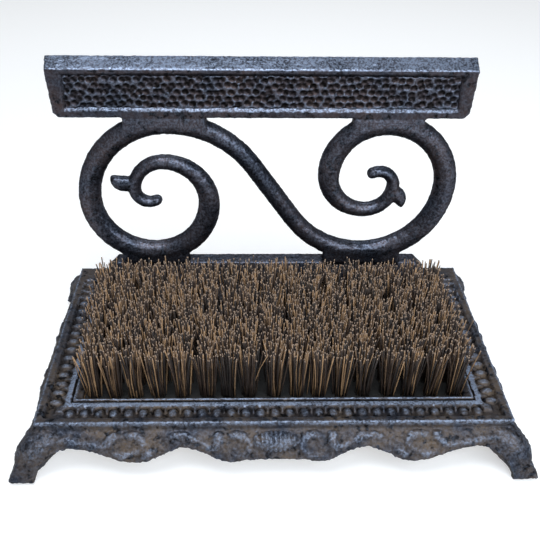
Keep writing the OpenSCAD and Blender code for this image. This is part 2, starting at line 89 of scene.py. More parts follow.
# Upward-facing ledges of the blade: painted highlight
LEDGE_HIGHLIGHT = 0.4
# Rods' upper front sides: painted highlight
ROD_TOP_HIGHLIGHT = 0.15
# Panel crests: partly wear, partly a painted highlight
PANEL_WEAR_AND_HIGHLIGHT = 0.15
# Hammer dents: painted shade towards their middles
DENT_SHADE = 0.55


def length(name, text, default):
    """Property for a size in millimetres, kept in metres."""
    return number(name, text, default * MM, unit="LENGTH", precision=5)


def number(name, text, default, **kind):
    return bpy.props.FloatProperty(name=name, description=text, default=default, **kind)


def angle(name, text, degrees):
    return number(name, text, math.radians(degrees), subtype="ANGLE")


def power(name, text, watts):
    return number(name, text, watts, unit="POWER")


def count(name, text, default):
    return bpy.props.IntProperty(name=name, description=text, default=default, min=0)


def colour(name, text, default):
    return bpy.props.FloatVectorProperty(
        name=name, description=text, default=default, subtype="COLOR", size=3, min=0, max=1)


class CastingSizes(PropertyGroup):
    """How the iron castings are moulded"""
    border_cell: length("Border cell", "Border's mesh size", 0.6)
    apron_cell: length("Apron cell", "Apron's mesh size", 0.8)
    scraper_cell: length("Scraper cell", "Scraper's mesh size", 1.03)
    border_passes: count("Border softening", "Smoothing passes over the border", 1)
    apron_passes: count("Apron softening", "Smoothing passes over the apron", 2)
    scraper_passes: count("Scraper softening", "Smoothing passes over the scraper", 2)
    rod_passes: count("Rod softening", "Further passes over the scroll", 4)
    rod_swell: length("Rod swell", "Thickness that the smoothed scroll gets back", 0.45)
    border_keep: number("Border share", "Share of its faces that are kept", 0.4)
    apron_keep: number("Apron share", "Share of its faces that are kept", 0.75)
    skin: length("Skin", "Height of the uneven sand-cast skin", 0.27)
    apron_skin: length("Apron skin", "Height of the apron's uneven skin", 0.5)
    skin_grain: length("Skin grain", "Size of the unevenness of the skin", 2.6)


class BaseSizes(PropertyGroup):
    """Sizes of the base, as its solid has them"""
    rim_length: length("Rim length", "Length of the base over its rim", 300)
    rim_width: length("Rim width", "Width of the base over its rim", 180)
    top: length("Top", "Height of the border above the floor", 36)
    under: length("Underside", "Height of the border's underside", 30)
    lip: length("Lip", "Height of the upright lip under the rim", 5)
    cove: length("Cove", "Depth of the cove under the lip", 2)
    flare: length("Flare", "Reach of the front and back past the rim", 19)
    flare_curve: number("Flare curve", "Bend of the front's flare: 1 is straight, less is bellied", 0.55)
    end_flare: length("End flare", "Reach of the ends past the rim", 17.5)
    end_curve: number("End curve", "Bend of the ends' flare", 0.75)
    outer_lobe: length("Outer lobe", "From the rim's end to the outer lobe's middle", 64)
    lobe_pitch: length("Lobe pitch", "Spacing of the lobes of the front and back", 59)
    block_edge: length("Block edge", "Width of the block under the border", 16)
    score_at: length("Score place", "From the brush opening to the scored line", 5.8)
    ridge_at: length("Ridge place", "From the brush opening to the fine ridge", 4.3)
    score_width: length("Score width", "Half width of the scored line and the ridge", 1.0)
    score_depth: length("Score depth", "Depth of the scored line", 1.1)
    ridge_rise: length("Ridge rise", "Height of the fine ridge", 0.5)


class BorderSizes(PropertyGroup):
    """Sizes of the bead border round the brush"""
    rim: length("Rim", "Width of the plain rim outside the beads", 5)
    channel: length("Channel", "Width of the beads' channel", 11)
    plain: length("Plain end", "Length without beads at each side's back", 17)
    depth: length("Channel depth", "Depth of the channel", 1.9)
    wall: length("Wall", "Width of the channel's sloping wall", 0.9)
    gap: length("Gap", "Gap round a bead", 1.2)
    bead: length("Bead", "Width of a bead", 6.6)
    bead_length: length("Bead length", "Length of a bead", 9.8)
    bead_rise: length("Bead rise", "Height of a bead above the channel", 2.4)
    bead_pitch: length("Bead pitch", "Least spacing of the beads", 9.3)
    slope: length("Slope", "Width of the slope to the brush", 4)
    band: length("Band", "Width of the flat band inside the beads", 6)
    band_tilt: length("Band tilt", "How far the band falls towards the beads", 0.8)
    fade: length("Fade", "Length over which the tilt ends at the back", 8)


class ReliefSizes(PropertyGroup):
    """Sizes of the leaf and ribbon relief on the apron"""
    thick: number("Thickness", "Thickness of the relief, 1 as drawn", 1.6)
    proud: length("Stand", "Height of a stroke's middle over the apron's face", -2.2)
    leaf_sink: length("Leaf sink", "Depth of the leg leaf's middle in the face", 8.0)
    ripple: number("Ripple", "How much the veins ripple the leg leaf", 0.09)
    ripple_steps: count("Ripple steps", "Steps of the leg leaf between veins", 6)
    end_sink: length("End sink", "Depth added to the ends' relief", 0.4)
    boss: length("End boss", "Radius of the boss on each end", 6.0)
    boss_sink: length("Boss sink", "Depth of the boss's middle in the face", 4.2)
    shell_length: length("Shell length", "Length of the reeded shell", 26.5)
    shell_radius: length("Shell radius", "Radius of the reeded shell", 6.8)
    shell_middle: length("Shell height", "Height of the shell's middle", 23.9)
    shell_rise: length("Shell rise", "Height of the shell over the apron", 3.8)
    shell_reeds: count("Shell reeds", "Reeds on the shell", 9)
    reed_depth: length("Reed depth", "Depth of the grooves between reeds", 0.9)


class PanelSizes(PropertyGroup):
    """Sizes of the blade and its hammered panel"""
    side: length("Side margin", "From the blade's end to the panel's floor", 12.3)
    head: length("Head margin", "From the scraping edge to the panel's floor", 10.8)
    height: length("Height", "Height of the panel's floor", 23.4)
    foot: length("Foot margin", "From the panel's floor to the blade's foot", 7)
    clearance: length("Clearance", "Room cut behind the panel for its dents", 1.9)
    bevel: length("Bevel", "Height of the slopes to the scraping edge", 6)
    blade: length("Blade", "Thickness of the blade", 12)
    recess: length("Recess", "Depth of the panel's floor", 1.8)
    cell: length("Mesh cell", "Mesh size of the panel", 0.65)
    dent_wide: length("Dent width", "Width of a hammer dent", 5.4)
    dent_high: length("Dent height", "Height of a hammer dent", 4.3)
    dent_depth: length("Dent depth", "Depth of the hammer dents", 1.5)


class BrushSizes(PropertyGroup):
    """Sizes of the brush"""
    gap: length("Gap", "Gap between the board and the border", 0.5)
    board: length("Board", "Thickness of the board in the opening", 0.8)
    rise: length("Rise", "Height of the tips above the border", 35)
    tufts: count("Tufts", "Tufts in a row", 17)
    fibres: count("Fibres", "Fibres in a tuft", 40)
    fibre: length("Fibre", "Radius of a fibre", 0.52)
    root: length("Root", "Radius of a tuft at its root", 4.7)
    spread: length("Spread", "Radius of a tuft at its tips", 7.9)
    crowd: length("Crowding", "Width added to the spread of the tufts", 4)
    lean: length("Lean", "How far the outer tufts lean out", 2)
    ragged: length("Raggedness", "How far fibres stray", 2.6)
    strays: count("Strays", "Fibres in a row that stick out", 7)


class Finishes(PropertyGroup):
    """Colours of the finished pieces"""
    iron: colour("Iron", "Blackened iron", (0.022, 0.0245, 0.034))
    iron_warm: colour("Warm iron", "Brown tone of the scraper's blackening", (0.052, 0.036, 0.033))
    base_warm: colour("Warm base", "Brown tone of the base's blackening", (0.096, 0.070, 0.050))
    # Colour of worn spots and of painted highlights and sheen
    iron_worn_and_highlight: colour("Worn iron", "Rubbed high spots", (0.215, 0.255, 0.340))
    # Colour of dirt in pits and of painted shade in hollows, grooves and dents
    iron_dirt_and_shade: colour("Dirt", "Soot in the hollows of the castings", (0.006, 0.005, 0.005))
    wood: colour("Wood", "Brush block", (0.30, 0.18, 0.09))
    wood_dark: colour("Dark wood", "Grain of the brush block", (0.14, 0.075, 0.035))
    # The board and its grain are near-black: painted shade between the tufts
    board: colour("Board", "Stained board under the tufts", (0.006, 0.005, 0.004))
    board_dark: colour("Dark board", "Grain of the stained board", (0.002, 0.002, 0.002))
    fibre_dark: colour("Dark fibre", "Darkest fibres", (0.008, 0.005, 0.004))
    fibre_mid: colour("Brown fibre", "Middle fibres", (0.034, 0.0175, 0.0095))
    fibre_pale: colour("Pale fibre", "Palest fibres", (0.30, 0.175, 0.085))
    fibre_tip: colour("Cut tip", "Cut ends of the fibres", (0.24, 0.165, 0.115))
    zinc: colour("Zinc", "Plated bolts and washers", (0.55, 0.56, 0.58))
    floor: colour("Floor", "Floor and backdrop", (0.60, 0.60, 0.60))
    sky: colour("Sky", "Tint of the world's light", (0.9, 0.95, 1.0))


class StageSizes(PropertyGroup):
    """Camera and lamps"""
    lens: number("Lens", "Focal length", 54.36, unit="CAMERA")
    camera: bpy.props.FloatVectorProperty(
        name="Camera", description="Place of the camera", subtype="TRANSLATION",
        default=(-0.01748, -0.46792, 0.38602))
    yaw: angle("Yaw", "Turn of the camera to the right", 1.884)
    pitch: angle("Pitch", "Tilt of the camera down", 32.237)
    roll: angle("Roll", "Roll of the camera", 0.907)
    overhead: power("Overhead", "Power of the overhead lamp", 7.5)
    back: power("Back", "Power of the back lamp", 3)
    front: power("Front", "Power of the large front lamp", 21)
    horizon: number("Horizon", "Strength of the world at the horizon", 0.1)
    zenith: number("Zenith", "Strength of the world overhead", 0.35)
    glow: number("Floor glow", "White added to the seen floor", 0.5)


# Each lamp by its name among the stage's powers: its size, its place, the spot that it faces and its tint
LAMPS = {
    "overhead": ((0.5, 0.5), (-0.1, -0.3, 1.0), (0, 0, 0.1), (0.88, 0.94, 1.0)),
    "back": ((1.0, 0.4), (0, 0.9, 0.95), (0, 0, 0.05), (0.85, 0.93, 1.0)),
    "front": ((1.4, 1.0), (0.5, -1.05, 0.8), (0, 0, 0.1), (0.84, 0.92, 1.0)),
}

# The apron's ornament on the right half of a side. Each stroke runs through spots given in millimetres:
# distance out from the middle of a lobe, height above the floor, and the stroke's radius there.
INNER_STROKES = (
    ((3, 27, 1.6), (-3, 28.4, 2.4), (-9.5, 26, 2.2), (-10.5, 22, 2.0), (-7, 18.3, 2.0), (-1, 17, 2.0),
     (5, 18.2, 1.4)),
    ((-7, 18, 1.4), (-11, 16.8, 1.2), (-14, 16.3, 0.8)),
    ((8.5, 27.8, 2.6), (9.2, 24.5, 2.6), (12, 22.2, 2.3), (19, 24, 2.1), (26, 27, 2.2), (32, 28.2, 2.2),
     (38, 27.6, 2.0), (42.5, 26.2, 1.4)),
)
OUTER_STROKES = (
    ((-16.5, 24.6, 0.9), (-11, 21.6, 1.9), (-5.5, 18.4, 2.6)),
    ((11, 27.6, 1.5), (4, 28.6, 2.3), (-2.5, 26.5, 2.3), (-3, 23, 2.0), (3, 19.8, 2.1), (10, 18.4, 2.4),
     (16, 20.6, 1.4)),
    ((15, 28, 2.5), (18, 25.2, 2.4), (23, 23.4, 2.2), (34.5, 24.4, 2.1), (44.5, 26, 2.2), (53.5, 26.2, 2.0),
     (60, 24.6, 1.6)),
)
LEG_LEAF = ((49, 28.6, 4.2), (56, 27, 5.6), (63, 22.5, 6.4), (68.5, 16.5, 5.2), (71, 12.5, 3.6))
STROKE_STEPS = 12
LEAF_STEPS = 14


def solid_copy(node):
    """Copy of a node's solid with its loose triangles joined."""
    bm = bmesh.new()
    bm.from_mesh(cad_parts[node].data)
    bmesh.ops.remove_doubles(bm, verts=bm.verts, dist=0.002 * MM)
    return bm


def cut_level(bm, z, keep_above):
    """Cut a closed shape at a height, keep one side and close it."""
    cut = bmesh.ops.bisect_plane(
        bm, geom=bm.verts[:] + bm.edges[:] + bm.faces[:], dist=1e-7, plane_co=(0, 0, z), plane_no=(0, 0, 1),
        clear_inner=keep_above, clear_outer=not keep_above)
    edges = [item for item in cut["geom_cut"] if isinstance(item, bmesh.types.BMEdge)]
    bmesh.ops.triangle_fill(bm, edges=edges, use_beauty=True, normal=(0, 0, -1 if keep_above else 1))


def meshed(bm, name="stock"):
    """Mesh of a shape, which is freed."""
    mesh = bpy.data.meshes.new(name)
    bm.to_mesh(mesh)
    bm.free()
    return mesh


def placed(name, data):
    """New object in the scene."""
    made = bpy.data.objects.new(name, data)
    bpy.context.scene.collection.objects.link(made)
    return made


def add_stock(bm, stock):
    """Vertices of a copy of a stock mesh that is added to a shape that only grows."""
    first = len(bm.verts)
    bm.from_mesh(stock, face_normals=False, vertex_normals=False)
    bm.verts.ensure_lookup_table()
    return bm.verts[first:]


def join(bm, other):
    """Add a shape to another and free it."""
    mesh = meshed(other)
    bm.from_mesh(mesh)
    bpy.data.meshes.remove(mesh)


def modified(bm, *steps):
    """Shape after a stack of modifiers, each given as its kind and settings."""
    mesh = meshed(bm)
    mould = placed("mould", mesh)
    for kind, settings in steps:
        modifier = mould.modifiers.new(kind.title(), kind)
        for key, value in settings.items():
            setattr(modifier, key, value)
    shape = bmesh.new()
    shape.from_object(mould, bpy.context.evaluated_depsgraph_get())
    bpy.data.objects.remove(mould)
    bpy.data.meshes.remove(mesh)
    return shape


def recast(bm, cell, passes):
    """Even mesh of a closed shape, its edges softened as a sand mould leaves them."""
    return modified(bm, ("REMESH", {"mode": "VOXEL", "voxel_size": cell}),
                    ("SMOOTH", {"factor": 0.5, "iterations": passes}))


def soften(bm, verts, factor):
    bmesh.ops.smooth_vert(bm, verts=verts, factor=factor, use_axis_x=True, use_axis_y=True, use_axis_z=True)


def roughen(bm, height, grain):
    """Uneven sand-cast skin."""
    smoothness, lacunarity, octaves = 0.9, 2.0, 3
    bm.normal_update()
    for vert in bm.verts:
        vert.co += vert.normal * height * noise.fractal(vert.co / grain, smoothness, lacunarity, octaves)


def round_edges(bm, edges, width):
    bmesh.ops.bevel(bm, geom=edges, offset=width, affect="EDGES", segments=2, profile=0.5, material=-1,
                    clamp_overlap=True)


def soft_edged(node, width):
    """Copy of a node's solid with its sharp edges rounded."""
    flat, sharp = math.radians(1), math.radians(40)
    bm = solid_copy(node)
    bmesh.ops.dissolve_limit(bm, angle_limit=flat, verts=bm.verts, edges=bm.edges)
    round_edges(bm, [edge for edge in bm.edges if edge.calc_face_angle(0) > sharp], width)
    return bm


def rub(bm, amount):
    """Keep how far each vertex is lightened by wear and painted highlights or, below 0, darkened by painted
    shade.
    """
    layer = bm.verts.layers.float.new("rub")
    bm.normal_update()
    for vert in bm.verts:
        vert[layer] = amount(vert)


def as_piece(bm, name, material, nodes=()):
    """Make a finished shape an object that rides on the frame and stands for the given nodes."""
    for face in bm.faces:
        face.smooth = True
    mesh = meshed(bm, name)
    mesh.materials.append(bpy.data.materials[material])
    piece = placed(name, mesh)
    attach(piece, "root")
    if nodes:
        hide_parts(*nodes)


def ease(t):
    """Smooth step from 0 to 1."""
    t = min(1, max(0, t))
    return t * t * (3 - 2 * t)


def flowing(spots, steps):
    """Smooth run of points through the given spots."""
    run = []
    last = len(spots) - 1
    for i in range(last):
        before, here, there, after = (Vector(spots[min(max(i + k, 0), last)]) for k in (-1, 0, 1, 2))
        for j in range(steps):
            t = j / steps
            run.append((2 * here + (there - before) * t + (2 * before - 5 * here + 4 * there - after) * t ** 2
                        + (3 * here - before - 3 * there + after) * t ** 3) / 2)
    return run + [Vector(spots[last])]


def apron_reach(sizes, on_end, z):
    """Distance of the apron's face from the middle of the base at a height."""
    half, flare, curve = sizes.rim_width / 2, sizes.flare, sizes.flare_curve
    if on_end:
        half, flare, curve = sizes.rim_length / 2, sizes.end_flare, sizes.end_curve
    drop = max(0.0, 1 - z / (sizes.top - sizes.lip))
    return half - sizes.cove + (flare + sizes.cove) * drop ** curve


def on_apron(sizes, on_end, u, z, lift):
    """Point on the apron's face of the front or an end, or lifted out of it."""
    step = 0.2 * MM
    steep = (apron_reach(sizes, on_end, z - step) - apron_reach(sizes, on_end, z)) / step
    out = Vector((0, -1, steep)).normalized()
    return Vector((u, -apron_reach(sizes, on_end, z), z)) + out * lift


def leaf_run(relief):
    """Leaf on a leg: a broad low blade, rippled by its veins."""
    blade = flowing(LEG_LEAF, LEAF_STEPS)
    for i, spot in enumerate(blade):
        spot.z *= 1 + relief.ripple * math.sin(math.tau * i / relief.ripple_steps)
    return blade


def apron_strokes(sizes, relief, on_end):
    """Relief on the right half of a side: (run, lift), the runs in millimetres from the side's middle."""
    half = sizes.rim_width / 2 if on_end else sizes.rim_length / 2
    lobe_u = (half - sizes.outer_lobe) / MM
    drawn = [(lobe_u, flowing(spots, STROKE_STEPS), relief.proud) for spots in OUTER_STROKES]
    drawn.append((lobe_u, leaf_run(relief), -relief.leaf_sink))
    if not on_end:
        inner_u = lobe_u - sizes.lobe_pitch / MM
        drawn += [(inner_u, flowing(spots, STROKE_STEPS), relief.proud) for spots in INNER_STROKES]
    return [([spot + Vector((u, 0, 0)) for spot in run], lift) for u, run, lift in drawn]


def add_relief(bm, sizes, relief):
    """Ribbons and leaves on all four sides, as strings of balls that the recast melts into ridges."""
    seed = bmesh.new()
    bmesh.ops.create_icosphere(seed, subdivisions=2, radius=1)
    ball = meshed(seed)
    for turn in range(4):
        on_end = turn % 2 == 1
        place = Matrix.Rotation(turn * math.pi / 2, 4, "Z")
        sink = relief.end_sink if on_end else 0
        balls = []
        for run, lift in apron_strokes(sizes, relief, on_end):
            for u, z, radius in run:
                for side in (-1, 1):
                    spot = on_apron(sizes, on_end, side * u * MM, z * MM, lift - sink)
                    balls.append((spot, radius * relief.thick * MM))
        if on_end:
            balls.append((on_apron(sizes, on_end, 0, relief.shell_middle, -relief.boss_sink), relief.boss))
        ornament = bmesh.new()
        for spot, radius in balls:
            for vert in add_stock(ornament, ball):
                vert.co = place @ (spot + radius * vert.co)
        join(bm, ornament)
    bpy.data.meshes.remove(ball)


def apron_highlight(sizes, vert):
    """Painted sheen on the apron's relief, with a painted highlight on its upward-facing sides, less on the
    legs and fading out towards the floor.
    """
    highlight_fade_height, leg, leg_share = 16 * MM, 20 * MM, 0.4
    least, full = 0.1 * MM, 1.9 * MM
    spot = vert.co
    proud = 0
    if spot.z < sizes.under:
        proud = max(abs(spot.y) - apron_reach(sizes, False, spot.z),
                    abs(spot.x) - apron_reach(sizes, True, spot.z))
    # Painted highlight: upward-facing sides lighter, darker towards the floor
    upper = ease(0.5 + 0.8 * vert.normal.z) * ease(spot.z / highlight_fade_height)
    if abs(spot.x) > sizes.rim_length / 2 - leg and abs(spot.y) > sizes.rim_width / 2 - leg:
        upper *= leg_share
    return (RELIEF_SHEEN + RELIEF_TOP_HIGHLIGHT * upper) * ease((proud - least) / (full - least))


def from_rim(sizes, spot):
    """Distances in from the rim: from its front, and from its nearer end."""
    return spot.y + sizes.rim_width / 2, sizes.rim_length / 2 - abs(spot.x)


def from_opening(sizes, spot):
    """Distance out from the brush opening at its front and ends."""
    return max(abs(spot.x) - BLOCK_HIGH.x, BLOCK_LOW.y - spot.y) + sizes.block_edge


def behind_opening(sizes, spot):
    """Distance back from the line of the brush opening's back edge."""
    return spot.y - BLOCK_HIGH.y + sizes.block_edge


def level_border(bm, sizes):
    """Fill the solid's bead channel up to the rim, to make room for finer beads."""
    for vert in bm.verts:
        if vert.co.z > sizes.top - CHANNEL_REACH:
            vert.co.z = sizes.top


def off_bead(place, run, pitch):
    """Distance from the middle of the nearest bead in a run that starts at 0."""
    beads = max(1, round(run / pitch))
    spacing = run / beads
    nearest = min(beads - 1, max(0, int(place / spacing)))
    return place - (nearest + 0.5) * spacing


def bead_height(sizes, border, spot):
    """Height of the beads, and of their channel with a round arch at each bead, over the rim."""
    front, side = from_rim(sizes, spot)
    inner = border.rim + border.channel
    deep = min(front, side) - border.rim
    if deep < 0 or deep > border.channel:
        return 0
    if front < side:
        run = sizes.rim_length - 2 * inner
        off = off_bead(spot.x + run / 2, run, border.bead_pitch)
    else:
        run = sizes.rim_width - inner - border.plain
        off = off_bead(front - inner, run, border.bead_pitch)
    arch = border.bead / 2 + border.gap
    groove = border.channel - arch
    clear = min(deep, max(groove - deep, arch - math.hypot(off, max(0, deep - groove))))
    clear = min(clear, sizes.rim_width - border.plain - front)
    height = -border.depth * ease(clear / border.wall)
    long_off = deep - border.bead_length / 2
    round_off = 1 - (2 * off / border.bead) ** 2 - (2 * long_off / border.bead_length) ** 2
    if round_off > 0 and max(front, side) > inner:
        height = max(height, border.bead_rise * math.sqrt(round_off) - border.depth)
    return height


def bead_border(bm, sizes, border):
    """Work the channel, the beads and the tilted band into the level border."""
    lowest = sizes.top - 0.5 * MM
    for vert in bm.verts:
        if vert.co.z < lowest or vert.normal.z < FACING_UP:
            continue
        away = from_opening(sizes, vert.co)
        tilt = border.band_tilt * min(1, max(0, (away - border.slope) / border.band))
        tilt *= ease(-behind_opening(sizes, vert.co) / border.fade)
        if away > border.slope + border.band + border.channel:
            tilt = 0
        vert.co.z += bead_height(sizes, border, vert.co) - tilt


def score_border(bm, sizes):
    """Scored line and fine ridge between the border's flat band and the slope to the brush."""
    for vert in bm.verts:
        if vert.co.z < sizes.top - CHANNEL_REACH or vert.normal.z < FACING_UP:
            continue
        away = max(from_opening(sizes, vert.co), behind_opening(sizes, vert.co))
        for place, height in ((sizes.score_at, -sizes.score_depth), (sizes.ridge_at, sizes.ridge_rise)):
            near = min(1, abs(away - place) / sizes.score_width)
            vert.co.z += height * (1 + math.cos(math.pi * near)) / 2


def border_wear_and_light(sizes, border, spot):
    """Wear and painted light on the border: wear and a painted highlight on the lip's edge, painted
    highlights on the bead tops and the fine ridge, a painted sheen on the band, and painted shade in the
    channel and the scored line.
    """
    edge_width, lip_fall, bead_fall, level = 1.5 * MM, 4 * MM, 1.2 * MM, 0.2 * MM
    front, side = from_rim(sizes, spot)
    edge = min(front, side, sizes.rim_width - front)
    fall = sizes.top - spot.z
    if edge < border.rim:
        # Lip's top edge: partly wear, partly a painted highlight
        return LIP_WEAR_AND_HIGHLIGHT * ease(1 - edge / edge_width) * ease(1 - fall / lip_fall)
    away = from_opening(sizes, spot)
    behind = behind_opening(sizes, spot) > 0
    if min(front, side) < border.rim + border.channel:
        # Bead tops get a painted highlight, the channel a slight painted shade
        return 0.0 if behind and fall < level else BEAD_HIGHLIGHT * ease(1 - fall / bead_fall) + CHANNEL_SHADE
    if behind:
        return 0.0
    half_score, ridge_reach = 0.7 * sizes.score_width, 1.3
    if away > sizes.score_at + half_score:
        # Flat band: painted sheen
        return BAND_SHEEN
    if away > sizes.score_at - half_score:
        # Scored line: painted shade
        return SCORE_SHADE
    # Fine ridge: painted highlight
    return RIDGE_HIGHLIGHT * ease(ridge_reach - abs(away - sizes.ridge_at) / sizes.score_width)


def panel_low():
    """Height of the lower edge of the blade panel's floor."""
    panel = bpy.context.scene.scraper_panel
    return SCRAPER_HIGH.z - panel.head - panel.height


def feed(node, inputs):
    """Set a node's inputs, or link those that are given a socket."""
    for key, value in inputs.items():
        if isinstance(value, NodeSocket):
            node.id_data.links.new(value, node.inputs[key])
        else:
            node.inputs[key].default_value = value


def node_in(tree, kind, inputs=None, **settings):
    """New shader node, its settings set and its inputs set or linked."""
    made = tree.nodes.new(kind)
    for key, value in settings.items():
        setattr(made, key, value)
    feed(made, inputs or {})
    return made


def worked(tree, operation, *values, clamp=False):
    """Result of a sum on numbers and sockets."""
    inputs = dict(enumerate(values))
    return node_in(tree, "ShaderNodeMath", inputs, operation=operation, use_clamp=clamp).outputs[0]


def mapped(tree, value, low, high, to_low=0.0, to_high=1.0):
    """Value taken from one range to another and held within it."""
    inputs = {"Value": value, "From Min": low, "From Max": high, "To Min": to_low, "To Max": to_high}
    return node_in(tree, "ShaderNodeMapRange", inputs).outputs["Result"]


def noisy(tree, place, scale, detail, roughness=0.5, distortion=0.0):
    """Even noise with an average of about a half."""
    inputs = {"Vector": place, "Scale": scale, "Detail": detail, "Roughness": roughness}
    return node_in(tree, "ShaderNodeTexNoise", {**inputs, "Distortion": distortion}).outputs["Fac"]


def bumped(tree, height, strength, depth):
    """Normal of a surface that a height makes uneven."""
    inputs = {"Height": height, "Strength": strength, "Distance": depth}
    return node_in(tree, "ShaderNodeBump", inputs).outputs["Normal"]


def blended(tree, factor, *colours):
    """Colour between two colours by a factor."""
    first, second = (item if isinstance(item, NodeSocket) else (*item, 1) for item in colours)
    return node_in(tree, "ShaderNodeMix", {0: factor, 6: first, 7: second}, data_type="RGBA").outputs[2]


def kept(tree, name):
    """Value that the mesh keeps at each vertex."""
    return node_in(tree, "ShaderNodeAttribute", attribute_name=name).outputs["Fac"]


def shader_group(name, inputs, outputs):
    """Empty node group from a vector and numbers to numbers: (tree, given sockets, output node)."""
    tree = bpy.data.node_groups.new(name, "ShaderNodeTree")
    tree.interface.new_socket("Vector", in_out="INPUT", socket_type="NodeSocketVector")
    for socket, default in inputs.items():
        made = tree.interface.new_socket(socket, in_out="INPUT", socket_type="NodeSocketFloat")
        made.default_value = default
    for socket in outputs:
        tree.interface.new_socket(socket, in_out="OUTPUT", socket_type="NodeSocketFloat")
    return tree, tree.nodes.new("NodeGroupInput").outputs, tree.nodes.new("NodeGroupOutput")


def grouped(tree, group, inputs):
    """Outputs of a placed node group with its own values."""
    return node_in(tree, "ShaderNodeGroup", inputs, node_tree=bpy.data.node_groups[group]).outputs


def cast_grain_group():
    """Grain of the iron: fine height, slow mottling of its blackening, bright specks and dark pits."""
    tree, given, out = shader_group(
        "Cast Grain", {"Grain": 900.0, "Mottling": 45.0}, ("Height", "Mottle", "Speck", "Pit"))
    fine = noisy(tree, given["Vector"], given["Grain"], detail=3.0, roughness=0.6)
    coarse = noisy(tree, given["Vector"], worked(tree, "MULTIPLY", given["Grain"], 0.33), detail=2.0)
    mottle = noisy(tree, given["Vector"], given["Mottling"], detail=5.0, roughness=0.65)
    feed(out, {
        "Height": worked(tree, "ADD", fine, coarse),
        "Mottle": mapped(tree, mottle, 0.35, 0.68),
        "Speck": mapped(tree, fine, 0.42, 0.62),
        "Pit": mapped(tree, coarse, 0.46, 0.34),
    })


def wear_and_shade_group():
    """Wear where boots have worn the high edges, broken up by the grain, and painted shade in the hollows."""
    tree, given, out = shader_group("Edge Wear", {"Breaks": 220.0}, ("Wear", "Hollow"))
    shape = node_in(tree, "ShaderNodeNewGeometry").outputs["Pointiness"]
    high = mapped(tree, shape, 0.51, 0.60, to_high=0.4)
    patchy = mapped(tree, noisy(tree, given["Vector"], given["Breaks"], detail=4.0), 0.38, 0.62)
    # Hollow Shade is painted shade: darker where the surface is concave
    feed(out, {"Wear": worked(tree, "MULTIPLY", high, patchy), "Hollow": mapped(tree, shape, 0.495, 0.42)})


def wood_grain_group():
    """Long grain along X with darker growth lines."""
    tree, given, out = shader_group("Wood Grain", {}, ("Grain", "Height"))
    along = node_in(tree, "ShaderNodeMapping", {"Vector": given["Vector"], "Scale": (12.0, 220.0, 220.0)})
    lines = noisy(tree, along.outputs["Vector"], 1.0, detail=6.0, roughness=0.6, distortion=0.4)
    feed(out, {"Grain": mapped(tree, lines, 0.32, 0.7), "Height": lines})


def material_base(name):
    """Tree of a new material, with its principled shader and object coordinates."""
    material = bpy.data.materials.new(name)
    material.use_nodes = True
    tree = material.node_tree
    place = node_in(tree, "ShaderNodeTexCoord")
    return tree, tree.nodes["Principled BSDF"], place.outputs["Object"]


def iron_material(name, finishes, brown, mottling, smooth, rough, bump, metal):
    """Blackened cast iron: grainy, brown in places, with wear and painted highlights and sheen on its high
    spots, painted shade in its hollows, grooves and dents, and dirt in random pits.
    """
    tree, shader, place = material_base(name)
    skin = grouped(tree, "Cast Grain", {"Vector": place, "Grain": 650.0, "Mottling": mottling})
    worn_edges_and_shade = grouped(tree, "Edge Wear", {"Vector": place})
    kept_wear_and_light = kept(tree, "rub")
    warm = blended(tree, skin["Mottle"], finishes.iron, brown)
    # Dirt in random pits, and painted shade in the hollows
    pits = worked(tree, "MAXIMUM", skin["Pit"], worn_edges_and_shade["Hollow"])
    # Values below 0 kept on the mesh add painted shade
    soot_and_shade = worked(tree, "MULTIPLY_ADD", kept_wear_and_light, -1.0, pits, clamp=True)
    dirty_and_shaded = blended(tree, soot_and_shade, warm, finishes.iron_dirt_and_shade)
    patches = worked(tree, "MULTIPLY_ADD", skin["Speck"], 2.0, skin["Mottle"])
    patchy = mapped(tree, patches, 0.0, 3.0, to_high=1.9)
    # Wear and painted highlights lighten towards the worn colour
    wear_and_highlight = worked(tree, "MULTIPLY_ADD", kept_wear_and_light, patchy, worn_edges_and_shade["Wear"])
    bright = worked(tree, "MULTIPLY_ADD", skin["Speck"], 0.10, wear_and_highlight, clamp=True)
    feed(shader, {
        "Base Color": blended(tree, bright, dirty_and_shaded, finishes.iron_worn_and_highlight),
        "Metallic": metal,
        "Specular IOR Level": 0.2,
        "Specular Tint": (0.3, 0.3, 0.3, 1),
        "Roughness": mapped(tree, skin["Mottle"], 0.0, 1.0, smooth, rough),
        "Normal": bumped(tree, skin["Height"], bump, 0.25 * MM),
    })


def wood_material(name, light, dark):
    """Planed board with long grain."""
    tree, shader, place = material_base(name)
    grain = grouped(tree, "Wood Grain", {"Vector": place})
    feed(shader, {
        "Base Color": blended(tree, grain["Grain"], dark, light),
        "Roughness": mapped(tree, grain["Grain"], 0.0, 1.0, 0.7, 0.5),
        "Normal": bumped(tree, grain["Height"], 0.4, 0.2 * MM),
    })


def fibre_material(finishes):
    """Plant fibre: each one its own streaky brown, with a cut end of another tone."""
    tree, shader, place = material_base("plant fibre")
    streak = noisy(tree, place, 350.0, detail=3.0)
    shade = worked(tree, "ADD", streak, -0.5)
    varied = worked(tree, "MULTIPLY_ADD", shade, 0.5, kept(tree, "tone"))
    ramp = node_in(tree, "ShaderNodeValToRGB", {"Fac": varied})
    tones = ramp.color_ramp.elements
    tones[0].color = (*finishes.fibre_dark, 1)
    tones[1].color = (*finishes.fibre_pale, 1)
    tones.new(0.5).color = (*finishes.fibre_mid, 1)
    cut = mapped(tree, kept(tree, "along"), 0.975, 0.992)
    feed(shader, {
        "Base Color": blended(tree, cut, ramp.outputs["Color"], finishes.fibre_tip),
        "Roughness": mapped(tree, streak, 0.0, 1.0, 0.55, 0.85),
    })


